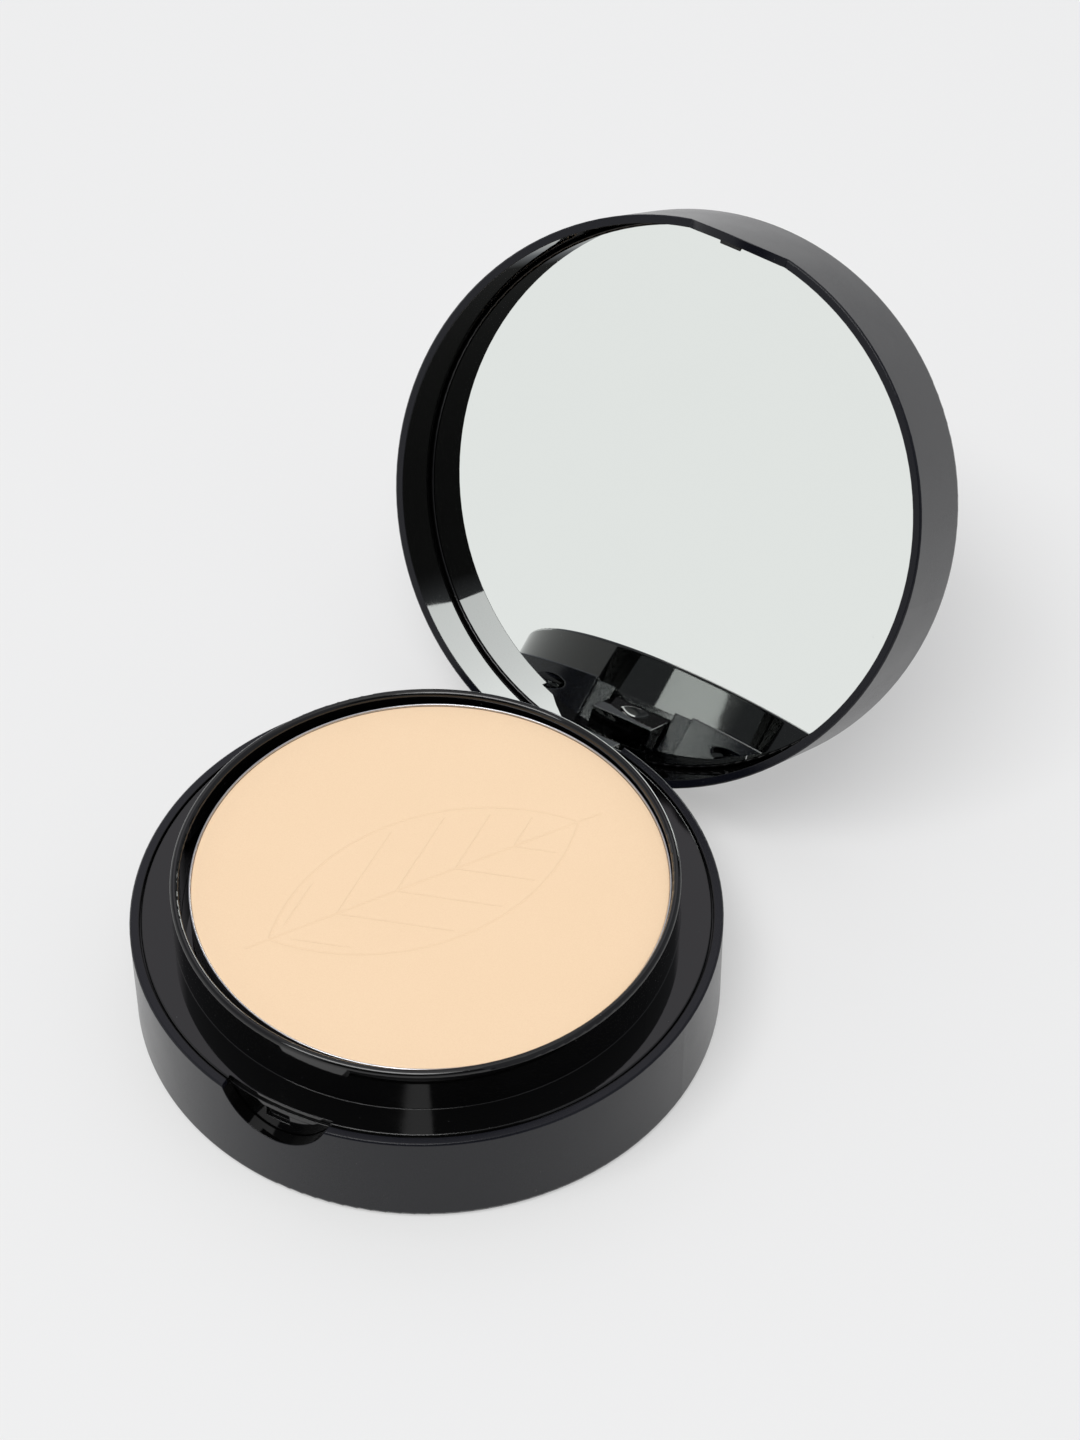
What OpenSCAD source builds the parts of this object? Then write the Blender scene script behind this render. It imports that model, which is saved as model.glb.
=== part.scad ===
// Round powder compact with a mirror lid.
//
// The base is a round cup. A well insert in it holds a sponge puff, and a lift-out
// tray above the puff carries the metal pan of pressed powder. The lid turns on a
// steel pin at the back and carries the mirror. A tongue at the lid's front fits
// the finger notch in the base.
//
// Frame: millimetres, +Z up, origin at the centre of the base's underside, hinge at
// +Y and finger notch at -Y. The lid stands open on its stop, as the object is drawn.

/* [Overall] */
// Radius of the base and of the lid
body_r = 36.5; // [36.2:0.1:37]
// Height of the base up to its rim
base_h = 14.1; // [14:0.1:14.2]
// Height of the lid from its rim to its back
lid_h = 14.15; // [14:0.05:14.2]
// Angle that the lid stands open
open_deg = 122; // [0:1:122]

/* [Base] */
// Inner radius of the base wall at the rim
rim_in_r = 35.3; // [35.2:0.05:35.4]
// Inner radius of the base wall below the rim
wall_in_r = 34.9; // [34.85:0.05:35]
// Thickness of the base floor
base_floor = 1.3; // [1:0.1:1.5]
// Rounding of the base's bottom edge
foot_round = 0.8; // [0.3:0.1:1]
// Radius of the shallow label recess in the underside
label_recess_r = 15; // [8:1:20]

/* [Hinge] */
// Distance of the hinge axis behind the centre
hinge_y = 33.6; // [33.55:0.05:33.65]
// Height of the hinge axis
hinge_z = 11.35; // [11.3:0.05:11.4]
// Radius of the hinge pin
pin_r = 0.75; // [0.6:0.05:0.8]
// Half the length of the hinge pin
pin_half = 11; // [10:0.2:11.2]
// Half the width of the recess in the base's back wall
recess_half = 7.3; // [7.2:0.1:7.8]
// Half the width of the lid's hinge arm
arm_half = 4.4; // [3.5:0.1:4.4]
// Radius of the lid arm's knuckle
knuckle_r = 1.6; // [1.5:0.05:1.7]

/* [Notch and latch] */
// Width of the finger notch in the base wall
notch_w = 14.2; // [14:0.1:15]
// Depth of the finger notch
notch_d = 5; // [4:0.1:5.2]
// Width of the tongue on the lid
tongue_w = 13.6; // [12:0.2:13.6]
// Depth of the tongue on the lid
tongue_d = 2.7; // [2.5:0.1:2.9]
// Width of the latch hook under the tongue
hook_w = 2.8; // [2:0.2:3]
// Angle that notch and tongue stand off the line through the hinge
latch_turn = 1.8; // [0:0.1:2]

/* [Tray and powder] */
// Outer radius of the tray's raised ring
ring_out_r = 31.2; // [31:0.1:31.3]
// Inner radius of the tray's raised ring
ring_in_r = 30.1; // [30.1:0.05:30.2]
// Height of the ring's top above the table
ring_top = 20.6; // [20.2:0.05:20.8]
// Outer radius of the tray's flange
flange_r = 35.1; // [35:0.05:35.15]
// Thickness of the tray's flange
flange_t = 0.8; // [0.6:0.05:0.8]
// How far the flange edge is set back over the notch
lip_back = 0.5; // [0.45:0.05:0.8]
// Outer radius of the powder pan
pan_r = 29.5; // [29.4:0.05:29.5]
// Wall thickness of the powder pan
pan_t = 0.25; // [0.2:0.05:0.35]
// Height of the powder's surface above the table
powder_top = 19.25; // [18.8:0.05:19.4]
// How far the pan lies off the ring's centre
pan_shift = 0.55; // [0:0.05:0.55]

/* [Lid and mirror] */
// Inner radius of the lid wall
lid_in_r = 35.4; // [35.35:0.05:35.5]
// Thickness of the lid's back
lid_top = 1.6; // [1.4:0.1:1.6]
// Rounding of the lid's back edge
lid_round = 1.4; // [1.2:0.1:1.5]
// Depth of the mirror's face below the lid rim
mirror_depth = 7.8; // [7.7:0.1:7.9]
// Radius of the mirror glass
mirror_r = 34.8; // [34:0.1:34.8]
// Thickness of the mirror glass
mirror_t = 1.8; // [1.4:0.1:1.8]

/* [Puff] */
// Radius of the sponge puff
puff_r = 28.6; // [26:0.1:28.8]
// Thickness of the sponge puff
puff_t = 9; // [6:0.5:10]

/* [Hidden] */
$fn = 160;

satin_black = [0.17, 0.17, 0.18];
gloss_black = [0.03, 0.03, 0.035];
aluminium = [0.78, 0.78, 0.79];
steel = [0.70, 0.71, 0.73];
powder_beige = [0.93, 0.82, 0.68];
sponge_beige = [0.90, 0.80, 0.70];
glass_tint = [0.86, 0.89, 0.87];
glue_clear = [0.90, 0.88, 0.80];
foam_white = [0.92, 0.92, 0.90];
paper_grey = [0.82, 0.82, 0.82];

// Chamfer of the outer rim edges of base and lid.
rim_chamfer = 0.2;

// Thickness of the label; it lies flush in its recess.
label_t = 0.3;

// Closed lid: its rim sits this far above the base rim.
rim_gap = 0.1;
lid_z = base_h + rim_gap;
lid_back = lid_z + lid_h;
mirror_z = lid_z + mirror_depth;

// Notch and tongue are segments of circles that lie in the wall.
notch_r = (pow(notch_w / 2, 2) + pow(notch_d, 2)) / (2 * notch_d);
tongue_r = (pow(tongue_w / 2, 2) + pow(tongue_d, 2)) / (2 * tongue_d);

// Well insert
liner_out_r = 34.3;
liner_in_r = 33.3;
liner_floor = 0.8;
liner_rim_r = wall_in_r - 0.05;
liner_top = base_h - flange_t;
liner_bottom = base_floor;

// Tray
tray_floor_z = liner_top - 0.2;
tray_floor_t = 0.8;
glue_t = 0.2;
pan_z = tray_floor_z + tray_floor_t + glue_t;
pan_top = powder_top + 0.15;
push_hole_r = 4;
// Direction in which the pan lies off centre, from +X
pan_shift_deg = 31;

// Hinge
bore_base_r = pin_r + 0.01;
bore_arm_r = pin_r + 0.05;
lug_back_y = hinge_y + 1.5;
lug_top = base_h - 0.3;
arm_back = 2.75;
trough_r = arm_back + 0.3;
recess_sill_z = 5.35;
rear_relief = 1.25;
rear_relief_half = 13;
arm_gap = 0.2;
dimple_r = 3;
dimple_depth = 0.7;
dimple_z = 13.75;
pin_well_r = 1.1;
pin_well_x = pin_half + 0.2;

// Latch
catch_r = wall_in_r - 0.1;
hook_nose_r = catch_r + 0.15;
hook_z = lid_z - tongue_d + 0.15;
hook_t = 0.8;
pocket_half = hook_w / 2 + 0.2;

// Lid inside
frame_wall = 0.4;
frame_plate_t = 1.85;
tape_t = 1.0;
tape_r = 30;

module tube(r_in, r_out, z_low, z_high) {
    difference() {
        translate([0, 0, z_low]) cylinder(r = r_out, h = z_high - z_low);
        translate([0, 0, z_low - 1]) cylinder(r = r_in, h = z_high - z_low + 2);
    }
}

module box(x0, x1, y0, y1, z0, z1) {
    translate([x0, y0, z0]) cube([x1 - x0, y1 - y0, z1 - z0]);
}

// Cylinder along X, centred on the hinge axis.
module hinge_cylinder(r, x0, x1) {
    translate([x0, hinge_y, hinge_z]) rotate([0, 90, 0]) cylinder(r = r, h = x1 - x0);
}

// Cylinder along Y in front of the centre; it cuts or makes a segment of the wall.
module front_disc(r, centre_z) {
    translate([0, -body_r - 2, centre_z]) rotate([-90, 0, 0]) cylinder(r = r, h = 8);
}

// Turns the lid from shut to its open angle.
module lid_pose() {
    translate([0, hinge_y, hinge_z]) rotate([-open_deg, 0, 0])
        translate([0, -hinge_y, -hinge_z]) children();
}

module base_shell() color(satin_black) {
    difference() {
        union() {
            difference() {
                rotate_extrude() base_profile();
                // Finger notch
                rotate([0, 0, latch_turn])
                    front_disc(notch_r, base_h - notch_d + notch_r);
                // Back recess that the lid's rim and arm swing into
                box(-recess_half, recess_half, 33, 38, recess_sill_z, base_h + 1);
            }
            hinge_block();
        }
        // Slot for the lid's arm
        hinge_cylinder(trough_r, -arm_half - arm_gap, arm_half + arm_gap);
        box(-arm_half - arm_gap, arm_half + arm_gap,
            hinge_y - knuckle_r - 0.3, 38, hinge_z, base_h + 1);
        box(-arm_half - arm_gap, arm_half + arm_gap,
            hinge_y - 0.6, 38, recess_sill_z, hinge_z + 1);
        // Pin bore, open through the wall on both sides and wider at its ends
        hinge_cylinder(bore_base_r, -20, 20);
        hinge_cylinder(pin_well_r, pin_well_x, 20);
        hinge_cylinder(pin_well_r, -20, -pin_well_x);
    }
}

module base_profile() {
    difference() {
        union() {
            polygon([[0, foot_round], [body_r, foot_round], [body_r, base_h - rim_chamfer],
                     [body_r - rim_chamfer, base_h], [0, base_h]]);
            square([body_r - foot_round, foot_round + 1]);
            translate([body_r - foot_round, foot_round]) circle(r = foot_round, $fn = 48);
        }
        // Inside of the cup, with the shoulder that the tray's flange rests on
        translate([0, base_floor]) square([wall_in_r, base_h]);
        translate([0, base_h - flange_t]) square([rim_in_r, 2]);
        // Label recess in the underside
        translate([0, -1]) square([label_recess_r, 1 + label_t]);
        // Keeps the profile on its own side of the axis
        translate([-5, -5]) square([5, 40]);
    }
}

// Block behind the well that carries the pin in two lugs.
module hinge_block() {
    intersection() {
        cylinder(r = body_r - 0.4, h = base_h);
        union() {
            // Lugs beside the lid's arm
            box(-recess_half, recess_half, ring_out_r + 0.8, lug_back_y, 5.6, lug_top);
            box(-recess_half - 1.9, recess_half + 1.9,
                ring_out_r + 0.8, lug_back_y, 5.6, tray_floor_z);
            // Body under the lugs
            box(-recess_half - 1.9, recess_half + 1.9, 29.8, hinge_y, base_floor - 0.1, 8.4);
            box(-recess_half - 1.9, recess_half + 1.9,
                33, 36.1, base_floor - 0.1, recess_sill_z);
        }
    }
}

module base_liner() color(gloss_black) {
    difference() {
        union() {
            tube(liner_in_r, liner_out_r, liner_bottom, liner_top);
            translate([0, 0, liner_bottom]) cylinder(r = liner_out_r - 0.2, h = liner_floor);
            tube(liner_in_r, liner_rim_r, liner_top - 0.7, liner_top);
            // Thicker wall behind the finger notch
            intersection() {
                tube(liner_in_r, catch_r, liner_bottom + 4, liner_top);
                rotate([0, 0, latch_turn]) box(-8, 8, -38, -30, liner_bottom, base_h);
            }
        }
        // Room for the hinge block
        box(-recess_half - 2.6, recess_half + 2.6, 29.6, 38, 0, base_h);
        // Pocket for the latch hook
        rotate([0, 0, latch_turn])
            box(-pocket_half, pocket_half, -38, -catch_r + 0.6, hook_z - 0.7, hook_z + 1);
    }
}

module powder_tray() color(gloss_black) {
    difference() {
        rotate_extrude() tray_profile();
        // Push-out hole under the pan
        translate([0, 0, tray_floor_z - 1]) cylinder(r = push_hole_r, h = 4);
        // Flange cut away over the hinge
        box(-recess_half - 0.2, recess_half + 0.2, ring_out_r + 0.6, 38,
            tray_floor_z - 1, base_h + 1);
        // Finger lip: flange edge set back over the notch
        rotate([0, 0, latch_turn]) intersection() {
            tube(flange_r - lip_back, body_r, tray_floor_z - 1, base_h + 1);
            box(-notch_w / 2, notch_w / 2, -38, -30, tray_floor_z - 1, base_h + 1);
        }
    }
}

module tray_profile() {
    ring_mid = (ring_out_r + ring_in_r) / 2;
    ring_half = (ring_out_r - ring_in_r) / 2;
    translate([0, tray_floor_z]) square([ring_out_r, tray_floor_t]);
    translate([ring_in_r, tray_floor_z])
        square([ring_out_r - ring_in_r, ring_top - ring_half - tray_floor_z]);
    translate([ring_mid, ring_top - ring_half]) circle(r = ring_half, $fn = 48);
    polygon([[ring_in_r, liner_top], [flange_r, liner_top], [flange_r, base_h - 0.15],
             [flange_r - 0.15, base_h], [ring_in_r, base_h]]);
}

// Moves the pan and its powder off the ring's centre.
module pan_place() {
    translate([pan_shift * cos(pan_shift_deg), pan_shift * sin(pan_shift_deg), 0]) children();
}

module godet() color(aluminium) pan_place() {
    difference() {
        union() {
            translate([0, 0, pan_z + 0.6]) cylinder(r = pan_r, h = pan_top - pan_z - 0.6);
            translate([0, 0, pan_z]) cylinder(r = pan_r - 0.6, h = 1);
            translate([0, 0, pan_z + 0.6]) rotate_extrude()
                translate([pan_r - 0.6, 0]) circle(r = 0.6, $fn = 32);
        }
        translate([0, 0, pan_z + pan_t]) cylinder(r = pan_r - pan_t, h = 10);
    }
}

// Dots of glue between the pan and the tray.
module godet_glue() color(glue_clear) {
    for (a = [45 : 90 : 315])
        rotate([0, 0, a]) translate([17, 0, pan_z - glue_t]) cylinder(r = 2.6, h = glue_t);
}

module pressed_powder() color(powder_beige) pan_place() {
    powder_r = pan_r - pan_t - 0.03;
    translate([0, 0, pan_z + pan_t + 0.02])
        cylinder(r = powder_r, h = powder_top - 0.25 - pan_z - pan_t - 0.02);
    translate([0, 0, powder_top - 0.25])
        cylinder(r = powder_r - 0.25, h = 0.25);
    translate([0, 0, powder_top - 0.25]) rotate_extrude()
        translate([powder_r - 0.25, 0]) circle(r = 0.25, $fn = 32);
}

module puff() color(sponge_beige) {
    round_r = 2;
    z0 = liner_bottom + liner_floor + 0.1;
    rotate_extrude() {
        translate([0, z0]) square([puff_r - round_r, puff_t]);
        translate([0, z0 + round_r]) square([puff_r, puff_t - 2 * round_r]);
        translate([puff_r - round_r, z0 + round_r]) intersection() {
            circle(r = round_r, $fn = 48);
            translate([-1, -3]) square([4, 6]);
        }
        translate([puff_r - round_r, z0 + puff_t - round_r]) intersection() {
            circle(r = round_r, $fn = 48);
            translate([-1, -3]) square([4, 6]);
        }
    }
}

module hinge_pin() color(steel) {
    hinge_cylinder(pin_r, -pin_half, pin_half);
}

module base_label() color(paper_grey) {
    cylinder(r = label_recess_r - 0.2, h = label_t);
}

module lid_shell() color(satin_black) lid_pose() {
    difference() {
        union() {
            rotate_extrude() lid_profile();
            // Tongue at the front
            intersection() {
                tube(lid_in_r, body_r, lid_z - tongue_d - 1, lid_z + 0.4);
                rotate([0, 0, latch_turn]) front_disc(tongue_r, lid_z - tongue_d + tongue_r);
            }
            rotate([0, 0, latch_turn]) latch_hook();
        }
        // Relief that lets the back of the rim pass the base's rim as the lid turns
        box(-rear_relief_half, rear_relief_half, 32, 38, lid_z - 1, lid_z + rear_relief);
    }
    difference() {
        hinge_arm();
        hinge_cylinder(bore_arm_r, -20, 20);
        // Dimple in the arm's face
        translate([0, hinge_y - knuckle_r - dimple_r + dimple_depth, dimple_z]) sphere(r = dimple_r);
    }
}

module lid_profile() {
    difference() {
        union() {
            polygon([[0, lid_z], [body_r - rim_chamfer, lid_z], [body_r, lid_z + rim_chamfer],
                     [body_r, lid_back - lid_round], [0, lid_back - lid_round]]);
            translate([0, lid_back - lid_round - 1]) square([body_r - lid_round, lid_round + 1]);
            translate([body_r - lid_round, lid_back - lid_round])
                circle(r = lid_round, $fn = 64);
        }
        translate([0, lid_z - 1]) square([lid_in_r, lid_h - lid_top + 1]);
        translate([-5, 0]) square([5, 60]);
    }
}

module latch_hook() {
    translate([hook_w / 2, 0, 0]) rotate([0, -90, 0]) linear_extrude(height = hook_w)
        polygon([[hook_z, -lid_in_r - 0.3], [hook_z + hook_t, -lid_in_r - 0.3],
                 [hook_z + hook_t, -lid_in_r], [hook_z + 0.45, -hook_nose_r],
                 [hook_z + 0.2, -hook_nose_r], [hook_z, -lid_in_r]]);
}

// Arm that reaches from the lid's back wall down round the pin.
module hinge_arm() {
    intersection() {
        cylinder(r = body_r - 0.1, h = lid_back);
        union() {
            hinge_cylinder(knuckle_r, -arm_half, arm_half);
            box(-arm_half, arm_half, hinge_y - knuckle_r, hinge_y + arm_back,
                hinge_z, lid_z + 3.2);
        }
    }
}

module mirror_frame() color(gloss_black) lid_pose() {
    frame_r = lid_in_r - 0.1;
    z_plate = mirror_z + mirror_t + tape_t;
    difference() {
        union() {
            translate([0, 0, mirror_z])
                cylinder(r = frame_r, h = z_plate + frame_plate_t - mirror_z);
            translate([0, 0, mirror_z]) rotate_extrude()
                translate([frame_r - frame_wall / 2, 0]) circle(r = frame_wall / 2, $fn = 32);
        }
        translate([0, 0, mirror_z - 1])
            cylinder(r = frame_r - frame_wall, h = z_plate - mirror_z + 1);
    }
}

module mirror_glass() color(glass_tint) lid_pose() {
    translate([0, 0, mirror_z]) cylinder(r = mirror_r, h = mirror_t);
}

// Foam pad that sticks the glass to its frame.
module mirror_tape() color(foam_white) lid_pose() {
    translate([0, 0, mirror_z + mirror_t]) cylinder(r = tape_r, h = tape_t);
}

base_shell();
base_liner();
powder_tray();
godet();
godet_glue();
pressed_powder();
puff();
hinge_pin();
base_label();
lid_shell();
mirror_frame();
mirror_glass();
mirror_tape();
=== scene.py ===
"""The looks of a round powder compact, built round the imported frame."""
import math

import bmesh
import bpy
from mathutils import Matrix, Vector


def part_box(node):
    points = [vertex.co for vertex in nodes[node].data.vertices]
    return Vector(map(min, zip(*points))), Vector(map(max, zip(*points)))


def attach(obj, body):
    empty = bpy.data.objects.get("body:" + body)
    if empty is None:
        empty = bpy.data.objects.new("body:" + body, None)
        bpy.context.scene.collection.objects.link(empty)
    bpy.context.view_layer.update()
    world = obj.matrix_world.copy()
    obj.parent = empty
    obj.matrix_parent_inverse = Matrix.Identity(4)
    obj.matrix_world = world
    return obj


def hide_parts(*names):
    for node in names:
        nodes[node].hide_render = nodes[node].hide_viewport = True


MM = 0.001
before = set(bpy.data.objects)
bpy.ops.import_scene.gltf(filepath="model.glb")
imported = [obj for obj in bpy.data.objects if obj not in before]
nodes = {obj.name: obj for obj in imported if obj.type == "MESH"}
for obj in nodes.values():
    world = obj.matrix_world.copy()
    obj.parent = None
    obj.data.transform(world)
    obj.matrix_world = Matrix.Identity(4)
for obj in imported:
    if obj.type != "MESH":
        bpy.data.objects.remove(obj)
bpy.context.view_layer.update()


# ---------------------------------------------------------------- sizes

# The hinge axis, the angle the lid stands open, and the height of the lid's back when shut
HINGE_Y, HINGE_Z = 33.6 * MM, 11.35 * MM
OPEN = math.radians(122)
LID_BACK = 28.35 * MM

# Where the polished inside of a shell ends and its satin outside begins; the wall of the
# finger notch is polished up to just below the rim
POLISHED_R, SATIN_R = 35.41 * MM, 35.46 * MM
NOTCH_POLISH_Z = 13.6 * MM

# Radii over which the shading rounds the crisp edges
SHELL_EDGE, INSERT_EDGE, FRAME_EDGE, METAL_EDGE = 0.18 * MM, 0.14 * MM, 0.03 * MM, 0.08 * MM

# Slopes of the mirror's shading, towards the hinge and sideways
MIRROR_LEAN_Y, MIRROR_LEAN_X = -0.02, 0.008

# The sizes of the pieces are in millimetres.
# The pan's wall, and the rounding of its corner outside and inside
PAN_T, PAN_ROUND, PAN_ROUND_IN = 0.25, 0.6, 0.4
# The rounding of the powder's foot and of its lip, and how far its top is crowned
CAKE_FOOT, CAKE_LIP, CAKE_CROWN = 0.5, 0.22, 0.05
# The puff's gap to its room before it swells, its rounding, and the most that it may swell
PUFF_SLIM, PUFF_ROUND, PUFF_MOVE = 0.8, 2.2, 0.7
# The puff's simulation: voxel size of its mesh, pressure inside, last frame
PUFF_VOXEL, PUFF_PRESSURE, PUFF_FRAMES = 1.6, 4, 20
# The air that stays round the puff, at its side and at its faces
AIR_SIDE, AIR_FACE = 0.05, 0.02
# Depth, half height and reach of the puff's seam
SEAM_DEPTH, SEAM_HALF, SEAM_REACH = 0.35, 0.5, 2.5


# ---------------------------------------------------------------- materials

class Shader:
    """A Principled material with short calls for adding its nodes."""

    def __init__(self, name, **sockets):
        self.material = bpy.data.materials.new(name)
        self.material.use_nodes = True
        self.tree = self.material.node_tree
        self.bsdf = self.tree.nodes["Principled BSDF"]
        for key, value in sockets.items():
            self.bsdf.inputs[key.replace("_", " ")].default_value = value

    def node(self, kind, inputs=None, **props):
        """Adds a node; an input is a number, a colour or another node's output."""
        made = self.tree.nodes.new(kind)
        for key, value in props.items():
            setattr(made, key, value)
        for key, value in (inputs or {}).items():
            if isinstance(value, bpy.types.NodeSocket):
                self.tree.links.new(value, made.inputs[key])
            else:
                made.inputs[key].default_value = value
        return made

    def math(self, operation, *values):
        made = self.node("ShaderNodeMath", operation=operation)
        for i, value in enumerate(values):
            if isinstance(value, bpy.types.NodeSocket):
                self.tree.links.new(value, made.inputs[i])
            else:
                made.inputs[i].default_value = value
        return made.outputs[0]

    def remap(self, value, low, high, to_low, to_high):
        made = self.node("ShaderNodeMapRange", {
            "Value": value, "From Min": low, "From Max": high, "To Min": to_low, "To Max": to_high})
        return made.outputs[0]

    def noise(self, vector, scale, detail=2.0, roughness=0.5):
        return self.node("ShaderNodeTexNoise", {
            "Vector": vector, "Scale": scale, "Detail": detail, "Roughness": roughness}).outputs[0]

    def mix(self, factor, a, b):
        """Colour a where factor is 0, colour b where it is 1."""
        made = self.node("ShaderNodeMix", data_type="RGBA")
        self.tree.links.new(factor, made.inputs[0])
        for index, value in ((6, a), (7, b)):
            if isinstance(value, bpy.types.NodeSocket):
                self.tree.links.new(value, made.inputs[index])
            else:
                made.inputs[index].default_value = value
        return made.outputs[2]

    def bump(self, height, distance, strength=1.0, normal=None):
        inputs = {"Height": height, "Distance": distance, "Strength": strength}
        if normal is not None:
            inputs["Normal"] = normal
        return self.node("ShaderNodeBump", inputs).outputs[0]

    def edge(self, radius):
        """A normal that rounds the crisp moulded edges a little, so that they catch the light."""
        return self.node("ShaderNodeBevel", {"Radius": radius}, samples=6).outputs[0]

    def feed(self, socket, value):
        """Links an output to a socket of the Principled node."""
        self.tree.links.new(value, self.bsdf.inputs[socket])

    def place(self, lid=False):
        """Coordinates in metres on the shut object, for a base or a lid piece."""
        coords = self.node("ShaderNodeTexCoord").outputs["Object"]
        if not lid:
            return coords
        c, s = math.cos(OPEN), math.sin(OPEN)
        return self.node("ShaderNodeMapping", {
            "Vector": coords, "Rotation": (OPEN, 0, 0),
            "Location": (0, HINGE_Y - c * HINGE_Y + s * HINGE_Z, HINGE_Z - s * HINGE_Y - c * HINGE_Z),
        }).outputs[0]

    def split(self, vector):
        made = self.node("ShaderNodeSeparateXYZ", {"Vector": vector})
        return made.outputs[0], made.outputs[1], made.outputs[2]

    def radius(self, x, y):
        return self.math("SQRT", self.math("ADD", self.math("MULTIPLY", x, x), self.math("MULTIPLY", y, y)))


def grey(value):
    """A neutral colour."""
    return (value, value, value, 1)


def shell_material(name, lid):
    """Satin black moulding outside, polished black inside."""
    m = Shader(name, IOR=1.38)
    spot = m.place(lid)
    x, y, z = m.split(spot)
    r = m.radius(x, y)
    # 1 on the satin outside and rim, 0 on the polished inside
    satin = m.remap(r, POLISHED_R, SATIN_R, 0, 1)
    if lid:
        satin = m.math("MAXIMUM", satin, m.remap(z, LID_BACK - 0.9 * MM, LID_BACK - 0.7 * MM, 0, 1))
    else:
        satin = m.math("MAXIMUM", satin, m.remap(z, 0.5 * MM, 0.9 * MM, 1, 0))
        notch = m.math("MULTIPLY", m.remap(r, 36.43 * MM, 36.47 * MM, 1, 0),
                       m.remap(y, -34 * MM, -33.5 * MM, 1, 0))
        notch = m.math("MULTIPLY", notch, m.remap(z, NOTCH_POLISH_Z, NOTCH_POLISH_Z + 0.1 * MM, 1, 0))
        satin = m.math("MULTIPLY", satin, m.math("SUBTRACT", 1, notch))
    fine = m.noise(spot, 9000, 3, 0.6)
    broad = m.noise(spot, 160, 3, 0.5)
    specks = m.remap(m.noise(spot, 2600, 1, 0.4), 0.78, 0.82, 0, 1)
    rough_satin = m.math("ADD", m.remap(fine, 0.3, 0.7, 0.21, 0.28),
                         m.remap(broad, 0.3, 0.7, -0.02, 0.02))
    rough_gloss = m.remap(broad, 0.3, 0.7, 0.01, 0.03)
    rough = m.math("ADD", m.math("MULTIPLY", satin, rough_satin),
                   m.math("MULTIPLY", m.math("SUBTRACT", 1, satin), rough_gloss))
    m.feed("Roughness", rough)
    base = m.mix(satin, grey(0.0015), (0.0034, 0.0038, 0.0068, 1))
    m.feed("Base Color", m.mix(specks, base, grey(0.04)))
    height = m.math("MULTIPLY", fine, satin)
    m.feed("Normal", m.bump(height, 0.006 * MM, 0.5, m.edge(SHELL_EDGE)))
    return m.material


def gloss_material(name, lid, edge):
    """Polished black moulding: slight waviness, fine specks of dust."""
    m = Shader(name, IOR=1.5)
    spot = m.place(lid)
    wave = m.noise(spot, 220, 2, 0.4)
    fine = m.noise(spot, 5000, 2, 0.6)
    specks = m.remap(m.noise(spot, 2400, 1, 0.4), 0.80, 0.83, 0, 1)
    m.feed("Roughness", m.math("ADD", m.remap(wave, 0.3, 0.7, 0.03, 0.06),
                               m.math("MULTIPLY", specks, 0.4)))
    m.feed("Base Color", m.mix(specks, grey(0.0015), grey(0.06)))
    height = m.math("ADD", wave, m.math("MULTIPLY", fine, 0.01))
    m.feed("Normal", m.bump(height, 0.01 * MM, 0.4, m.edge(edge)))
    return m.material


def metal_material(name, colour, roughness, brushed_axis="ring"):
    """Bare metal with fine lines, round the vertical axis or along X."""
    m = Shader(name, Metallic=1.0)
    spot = m.place()
    x, y, z = m.split(spot)
    if brushed_axis == "ring":
        lines = m.node("ShaderNodeCombineXYZ", {"X": m.radius(x, y), "Z": z}).outputs[0]
    else:
        lines = m.node("ShaderNodeCombineXYZ", {"Y": y, "Z": z}).outputs[0]
    brush = m.noise(lines, 12000, 3, 0.6)
    m.feed("Roughness", m.remap(brush, 0.3, 0.7, roughness - 0.08, roughness + 0.1))
    tone = m.mix(m.remap(m.noise(spot, 500, 3), 0.3, 0.7, 0, 1),
                 tuple(c * 0.92 for c in colour[:3]) + (1,), colour)
    m.feed("Base Color", tone)
    m.feed("Normal", m.bump(brush, 0.002 * MM, 0.3, m.edge(METAL_EDGE)))
    return m.material


def mirror_material():
    """Silvered glass with faint smudges and dust."""
    m = Shader("mirror_silver", Metallic=1.0)
    spot = m.place(True)
    smudge = m.noise(spot, 90, 4, 0.6)
    dust = m.remap(m.noise(spot, 1500, 1, 0.4), 0.80, 0.82, 0, 1)
    m.feed("Roughness", m.math("ADD", m.remap(smudge, 0.45, 0.8, 0.004, 0.03),
                               m.math("MULTIPLY", dust, 0.15)))
    m.feed("Base Color", m.mix(smudge, (0.90, 0.935, 0.91, 1), (0.89, 0.925, 0.90, 1)))
    # The shading leans a little, as glass on a foam pad does, which moves what it reflects
    x, y, _ = m.split(spot)
    lean = m.math("ADD", m.math("MULTIPLY", y, MIRROR_LEAN_Y), m.math("MULTIPLY", x, MIRROR_LEAN_X))
    m.feed("Normal", m.bump(lean, 1.0))
    return m.material


def soft_material(name, colour, dark, scale, depth, roughness=0.9, lid=False):
    """Foam, paper or glue: two tones over a fine grain."""
    m = Shader(name)
    spot = m.place(lid)
    grain = m.noise(spot, scale, 4, 0.6)
    cells = m.node("ShaderNodeTexVoronoi", {"Vector": spot, "Scale": scale * 0.8}).outputs["Distance"]
    m.feed("Base Color", m.mix(m.remap(grain, 0.3, 0.7, 0, 1), dark, colour))
    m.feed("Roughness", m.remap(cells, 0, 0.6, roughness - 0.1, min(roughness + 0.08, 1)))
    m.feed("Normal", m.bump(m.math("ADD", grain, m.math("MULTIPLY", cells, -0.6)), depth, 0.6))
    return m.material


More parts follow.
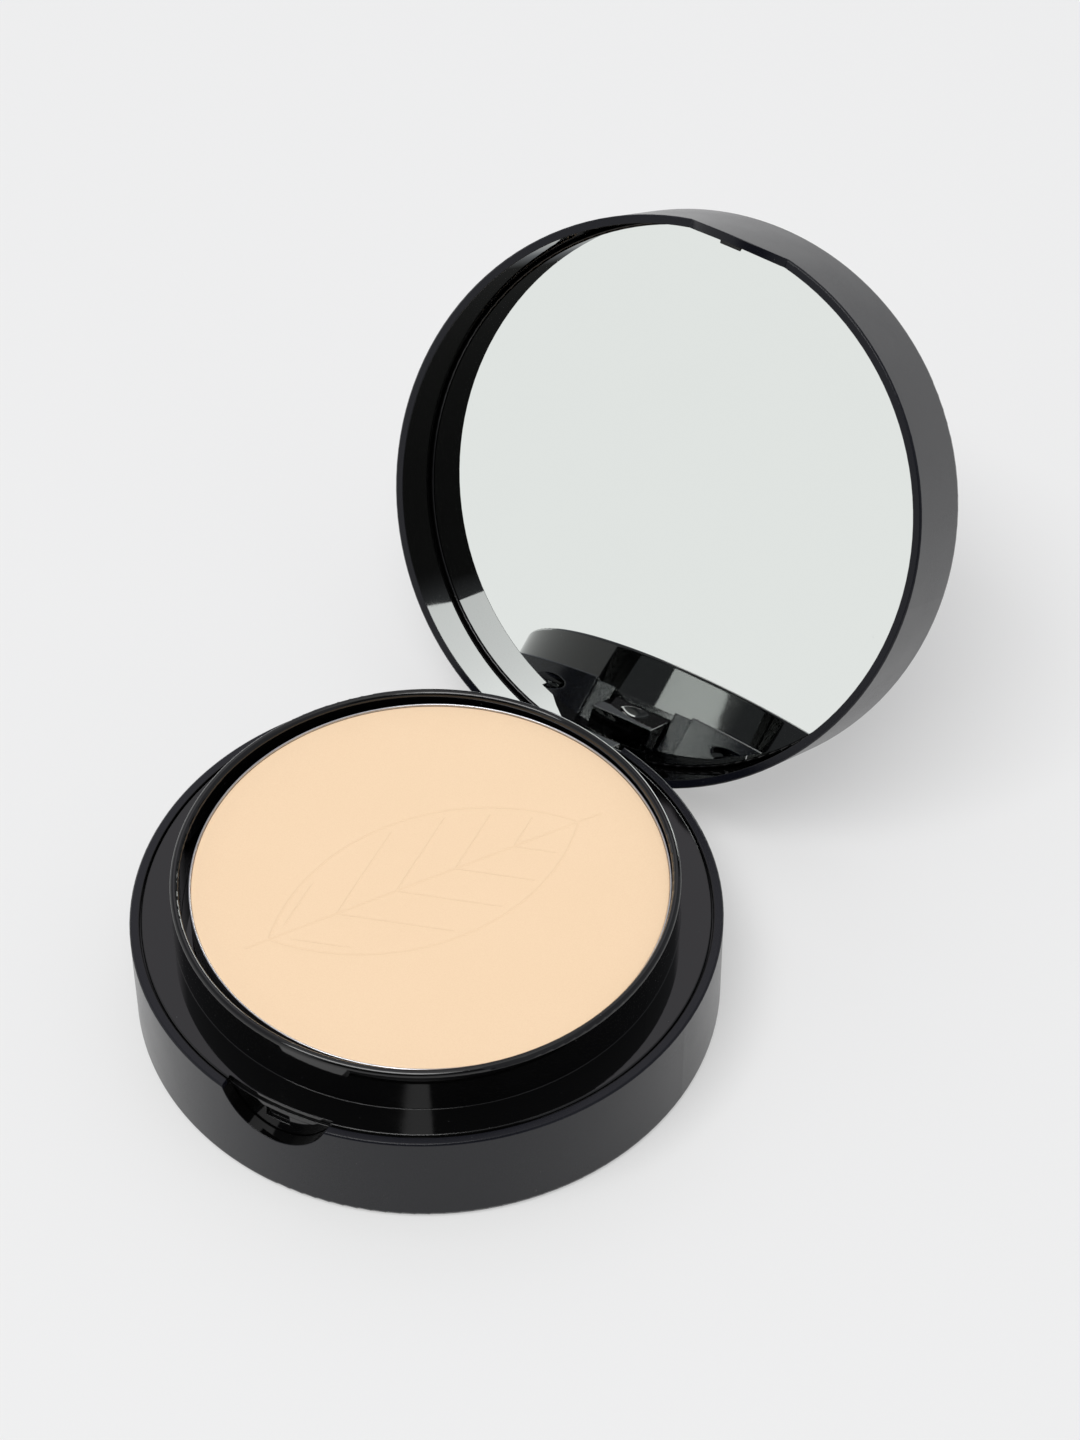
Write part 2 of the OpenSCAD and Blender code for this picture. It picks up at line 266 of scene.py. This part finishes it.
def powder_material():
    """Pressed powder with a faint leaf pressed into it; painted shade darkens the colour along the leaf's
    lines.
    """
    m = Shader("pressed_powder_beige", Sheen_Weight=0.05)
    spot = m.place()
    grain = m.noise(spot, 7000, 4, 0.65)
    cloud = m.noise(spot, 70, 4, 0.55)
    press = m.noise(m.node("ShaderNodeMapping", {"Vector": spot, "Scale": (1, 0.12, 1)}).outputs[0], 900, 2)
    tone = m.mix(m.remap(cloud, 0.3, 0.7, 0, 1), (0.930, 0.692, 0.458, 1), (0.938, 0.700, 0.466, 1))
    dark = m.mix(m.remap(cloud, 0.3, 0.7, 0, 1), (0.904, 0.660, 0.428, 1), (0.912, 0.668, 0.436, 1))
    tone = m.mix(m.remap(grain, 0.38, 0.6, 0, 1), dark, tone)
    leaf = leaf_lines(m, spot)
    # Painted shade: the colour is made darker along the leaf's pressed lines, as shade in the grooves
    m.feed("Base Color", m.mix(m.math("MULTIPLY", leaf, 0.32), tone, (0.87, 0.62, 0.39, 1)))
    m.feed("Roughness", m.remap(grain, 0.3, 0.7, 0.78, 0.95))
    height = m.math("ADD", grain, m.math("MULTIPLY", cloud, 0.5))
    height = m.math("ADD", height, m.math("MULTIPLY", press, 0.4))
    fine = m.bump(height, 0.02 * MM, 0.5)
    m.feed("Normal", m.bump(m.math("MULTIPLY", leaf, -1), 0.08 * MM, 0.5, fine))
    return m.material


def leaf_lines(m, spot):
    """1 on the thin lines of a leaf: two arcs, a mid vein and side veins."""
    half_width, half_length, stalk = 10 * MM, 21 * MM, 24 * MM
    wide, turn = 0.13 * MM, math.radians(-58)
    vein_pitch, vein_slant = 8 * MM, 1.3
    turned = m.node("ShaderNodeMapping", {"Vector": spot, "Rotation": (0, 0, turn)}).outputs[0]
    u, v, _ = m.split(turned)
    v = m.math("ABSOLUTE", v)
    bend = (half_length ** 2 + half_width ** 2) / (2 * half_width)
    reach = m.radius(u, m.math("ADD", v, bend - half_width))

    def line(distance, half):
        return m.remap(m.math("ABSOLUTE", distance), half * 0.5, half * 1.5, 1, 0)

    rim = line(m.math("SUBTRACT", reach, bend), wide)
    along = m.math("ABSOLUTE", u)
    rim = m.math("MULTIPLY", rim, m.remap(along, half_length - 0.2 * MM, half_length + 0.2 * MM, 1, 0))
    vein = m.math("MULTIPLY", line(v, wide), m.remap(along, stalk, stalk + 0.3 * MM, 1, 0))
    step = m.math("SUBTRACT", u, m.math("MULTIPLY", v, vein_slant))
    side = m.math("SUBTRACT", m.math("FLOORED_MODULO", step, vein_pitch), vein_pitch / 2)
    side = m.math("MULTIPLY", line(side, wide), m.remap(reach, bend - 1.2 * MM, bend - 1 * MM, 1, 0))
    return m.math("MAXIMUM", m.math("MAXIMUM", rim, vein), side)


base_mat = shell_material("satin_black_base", False)
lid_mat = shell_material("satin_black_lid", True)
gloss_base = gloss_material("gloss_black_base", False, INSERT_EDGE)
gloss_lid = gloss_material("gloss_black_lid", True, FRAME_EDGE)
aluminium = metal_material("pan_aluminium", (0.62, 0.62, 0.64, 1), 0.3)
steel = metal_material("pin_steel", (0.72, 0.73, 0.75, 1), 0.25, "axis")
paper = soft_material("label_paper", (0.78, 0.78, 0.78, 1), (0.7, 0.7, 0.7, 1), 4000, 0.01 * MM)
glue = soft_material("clear_glue", (0.85, 0.82, 0.7, 1), (0.75, 0.72, 0.6, 1), 900, 0.05 * MM, 0.3)
foam = soft_material("foam_tape", (0.9, 0.9, 0.88, 1), (0.75, 0.75, 0.73, 1), 3000, 0.05 * MM, 0.9, True)
sponge = soft_material("sponge_puff", (0.86, 0.70, 0.55, 1), (0.74, 0.58, 0.44, 1), 2500, 0.12 * MM)

for name, material in {
    "base_shell": base_mat, "lid_shell": lid_mat, "base_liner": gloss_base,
    "powder_tray": gloss_base, "godet": aluminium, "hinge_pin": steel,
    "base_label": paper, "godet_glue": glue, "mirror_tape": foam,
    "mirror_frame": gloss_lid, "mirror_glass": mirror_material(),
    "pressed_powder": powder_material(), "puff": sponge,
}.items():
    nodes[name].data.materials.clear()
    nodes[name].data.materials.append(material)

# ---------------------------------------------------------------- pieces

def mesh_object(name, mesh_data, material, body):
    """A smooth object of the given mesh that rides a body and carries a material slot."""
    made = bpy.data.objects.new(name, mesh_data)
    bpy.context.scene.collection.objects.link(made)
    made.data.materials.append(material)
    for face in made.data.polygons:
        face.use_smooth = True
    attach(made, body)
    return made


def lathe(name, profile, centre=(0, 0, 0), steps=288):
    """Turns a closed (radius, z) profile in mm round a vertical axis; radius 0 closes at the axis."""
    cx, cy = centre[0] * MM, centre[1] * MM
    bm = bmesh.new()
    rings = []
    for radius, z in profile:
        if radius < 1e-6:
            rings.append([bm.verts.new((cx, cy, z * MM))])
        else:
            rings.append([bm.verts.new((cx + radius * MM * math.cos(2 * math.pi * k / steps),
                                        cy + radius * MM * math.sin(2 * math.pi * k / steps), z * MM))
                          for k in range(steps)])
    for low, high in zip(rings, rings[1:] + rings[:1]):
        if len(low) == 1 and len(high) == 1:
            continue
        for k in range(steps):
            n = (k + 1) % steps
            if len(low) == 1:
                bm.faces.new((low[0], high[n], high[k]))
            elif len(high) == 1:
                bm.faces.new((low[k], low[n], high[0]))
            else:
                bm.faces.new((low[k], low[n], high[n], high[k]))
    bmesh.ops.recalc_face_normals(bm, faces=bm.faces)
    data = bpy.data.meshes.new(name)
    bm.to_mesh(data)
    bm.free()
    return data


def corner_arc(cx, cz, radius, start, end, steps=8):
    """Points of an arc in a lathe profile, angles in degrees."""
    return [(cx + radius * math.cos(math.radians(start + (end - start) * k / steps)),
             cz + radius * math.sin(math.radians(start + (end - start) * k / steps)))
            for k in range(steps + 1)]


def box_mm(node):
    """The two corners of a CAD node's box, in millimetres."""
    low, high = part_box(node)
    return [v / MM for v in low], [v / MM for v in high]


pan_low, pan_high = box_mm("godet")
pan_r, pan_z, pan_top = (pan_high[0] - pan_low[0]) / 2, pan_low[2], pan_high[2]
pan_centre = [(a + b) / 2 for a, b in zip(pan_low, pan_high)]
pan_inset = PAN_T + PAN_ROUND_IN
pan_profile = ([(0, pan_z)]
               + corner_arc(pan_r - PAN_ROUND, pan_z + PAN_ROUND, PAN_ROUND, -90, 0)
               + corner_arc(pan_r - PAN_T / 2, pan_top - PAN_T / 2, PAN_T / 2, 0, 180, 12)
               + corner_arc(pan_r - pan_inset, pan_z + pan_inset, PAN_ROUND_IN, 0, -90)
               + [(0, pan_z + PAN_T)])
pan = mesh_object("pan_pressed", lathe("pan_pressed", pan_profile, pan_centre),
                  aluminium, "base")
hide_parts("godet")

cake_low, cake_high = box_mm("pressed_powder")
cake_r, cake_z, cake_top = (cake_high[0] - cake_low[0]) / 2, cake_low[2], cake_high[2]
crown = [(r, cake_top - CAKE_CROWN * (r / cake_r) ** 6)
         for r in (28.7, 28, 27, 25, 23, 20, 16, 12, 8, 4, 0)]
cake_profile = ([(0, cake_z)]
                + corner_arc(cake_r - CAKE_FOOT, cake_z + CAKE_FOOT, CAKE_FOOT, -90, 0)
                + corner_arc(cake_r - CAKE_LIP, cake_top - CAKE_CROWN - CAKE_LIP, CAKE_LIP, 0, 80, 6)
                + crown)
cake = mesh_object("powder_cake", lathe("powder_cake", cake_profile, pan_centre),
                   nodes["pressed_powder"].data.materials[0], "base")
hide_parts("pressed_powder")


def sponge_puff():
    """Foam puff swollen by a short cloth simulation inside the room that its CAD solid holds."""
    low, high = box_mm("puff")
    radius, z0, z1 = high[0], low[2], high[2]
    inset = PUFF_SLIM + PUFF_ROUND
    profile = ([(0, z0 + PUFF_SLIM)]
               + corner_arc(radius - inset, z0 + inset, PUFF_ROUND, -90, 0, 4)
               + corner_arc(radius - inset, z1 - inset, PUFF_ROUND, 0, 90, 4)
               + [(0, z1 - PUFF_SLIM)])
    puff = mesh_object("puff_sponge", lathe("puff_sponge", profile, steps=96), sponge, "base")
    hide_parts("puff")
    bpy.context.view_layer.objects.active = puff
    remesh = puff.modifiers.new("even", "REMESH")
    remesh.mode = "VOXEL"
    remesh.voxel_size = PUFF_VOXEL * MM
    bpy.ops.object.modifier_apply(modifier=remesh.name)
    before = [v.co.copy() for v in puff.data.vertices]
    cloth = puff.modifiers.new("swell", "CLOTH")
    cloth.settings.use_pressure = True
    cloth.settings.uniform_pressure_force = PUFF_PRESSURE
    cloth.settings.effector_weights.gravity = 0
    for step in range(1, PUFF_FRAMES + 1):
        bpy.context.scene.frame_set(step)
    bpy.ops.object.modifier_apply(modifier=cloth.name)
    bpy.context.scene.frame_set(1)
    for vert, start in zip(puff.data.vertices, before):
        move = vert.co - start
        if move.length > PUFF_MOVE * MM:
            vert.co = start + move.normalized() * PUFF_MOVE * MM
    smooth = puff.modifiers.new("round", "SUBSURF")
    smooth.levels = smooth.render_levels = 1
    bpy.ops.object.modifier_apply(modifier=smooth.name)
    middle = (z0 + z1) / 2
    for vert in puff.data.vertices:
        # A soft seam round the middle, and no part outside the room
        r = math.hypot(vert.co.x, vert.co.y) / MM
        z = vert.co.z / MM
        pinch = SEAM_DEPTH * math.exp(-((z - middle) / SEAM_HALF) ** 2) if r > radius - SEAM_REACH else 0
        squeeze = min(1, (radius - AIR_SIDE - pinch) / max(r, 1e-6))
        vert.co.x *= squeeze
        vert.co.y *= squeeze
        vert.co.z = min(max(vert.co.z, (z0 + AIR_FACE) * MM), (z1 - AIR_FACE) * MM)
    for face in puff.data.polygons:
        face.use_smooth = True


sponge_puff()

# ---------------------------------------------------------------- stage

bpy.ops.mesh.primitive_plane_add(size=6)
floor = bpy.context.object
floor.name = "floor"
floor_mat = Shader("floor_white", Roughness=0.8, Specular_IOR_Level=0.0, Emission_Strength=0.40,
                   Emission_Color=(1.0, 0.998, 0.985, 1))
floor_mat.feed("Base Color", floor_mat.mix(
    floor_mat.noise(floor_mat.place(), 40), grey(0.45), grey(0.452)))
floor.data.materials.append(floor_mat.material)


def toward(azimuth, elevation):
    """Unit vector; azimuth in degrees from the front towards +X."""
    a, e = math.radians(azimuth), math.radians(elevation)
    return Vector((math.cos(e) * math.sin(a), -math.cos(e) * math.cos(a), math.sin(e)))


def softbox(name, left, right, high, radiance):
    """A rectangular light, high degrees tall, whose lower edge runs from left to right.

    Both ends are an azimuth and an elevation in degrees.
    """
    distance = 4
    start, end = toward(*left), toward(*right)
    middle, along = (start + end).normalized(), (end - start).normalized()
    rise = middle.cross(along)
    half = math.radians(high / 2)
    out = middle * math.cos(half) + rise * math.sin(half)
    top = rise * math.cos(half) - middle * math.sin(half)
    data = bpy.data.lights.new(name, "AREA")
    data.shape = "RECTANGLE"
    data.size = 2 * distance / math.cos(half) * math.tan(start.angle(end) / 2)
    data.size_y = 2 * distance * math.tan(half)
    data.energy = radiance * math.pi * data.size * data.size_y
    light = bpy.data.objects.new(name, data)
    bpy.context.scene.collection.objects.link(light)
    turn = Matrix((along, top, out)).transposed().to_4x4()
    light.matrix_world = Matrix.Translation(out * distance) @ turn
    return light


softbox("key_softbox", left=(-40, 53), right=(29, 49.2), high=19, radiance=7.6)

world = bpy.data.worlds.new("studio")
bpy.context.scene.world = world
world.use_nodes = True


class Sky(Shader):
    """The same node calls on the world's tree."""

    def __init__(self, made):
        self.tree = made.node_tree
        self.background = self.tree.nodes["Background"]

    def patch(self, value, low, high, soft):
        """1 between low and high, with soft edges."""
        rise = self.remap(value, low - soft, low + soft, 0, 1)
        fall = self.remap(value, high - soft, high + soft, 1, 0)
        return self.math("MULTIPLY", rise, fall)


SURROUND = (0.40, 0.41, 0.44, 1)
OVERHEAD = (1.15, 1.15, 1.15, 1)
OVERHEAD_FADE = (64, 72)
BACKDROP = (0.863, 0.863, 0.863, 1)
# Azimuths and elevations in degrees, each with the softness of its edges, and a colour
PATCHES = (
    ((-140, -13, 3), (-90, 22, 4), (0.83, 0.83, 0.83, 1)),   # pale wall on the left
    ((-9, 34, 3), (-90, 44, 3), (0.05, 0.05, 0.05, 1)),      # dark room behind the camera
    ((28, 66, 3), (15, 50, 3), (0.05, 0.05, 0.05, 1)),       # dark panel on the right
    ((-168, -118, 6), (38, 58, 3), (0.90, 0.88, 0.94, 1)),   # glow at the back
)

sky = Sky(world)
along = sky.node("ShaderNodeTexCoord").outputs["Generated"]
sx, sy, sz = sky.split(along)
around = sky.math("MULTIPLY", sky.math("ARCTAN2", sx, sky.math("MULTIPLY", sy, -1)), 180 / math.pi)
height = sky.math("MULTIPLY", sky.math("ARCSINE", sz), 180 / math.pi)
tone = SURROUND
for azimuths, elevations, colour in PATCHES:
    mask = sky.math("MULTIPLY", sky.patch(around, *azimuths), sky.patch(height, *elevations))
    tone = sky.mix(mask, tone, colour)
tone = sky.mix(sky.remap(height, *OVERHEAD_FADE, 0, 1), tone, OVERHEAD)
seen = sky.node("ShaderNodeLightPath").outputs["Is Camera Ray"]
sky.tree.links.new(sky.mix(seen, tone, BACKDROP), sky.background.inputs["Color"])

scene = bpy.context.scene
scene.view_settings.view_transform = "Standard"
scene.view_settings.look = "None"

# Metres, and degrees round X, Y and Z
CAMERA_PLACE = (0.17772, -0.26576, 0.38879)
CAMERA_TURN = (43.122, 0.076, 31.187)

lens = bpy.data.cameras.new("photo_camera")
lens.lens = 100
lens.sensor_width = 36
lens.clip_start = 0.01
camera = bpy.data.objects.new("photo_camera", lens)
scene.collection.objects.link(camera)
camera.location = CAMERA_PLACE
camera.rotation_euler = [math.radians(turn) for turn in CAMERA_TURN]
scene.camera = camera
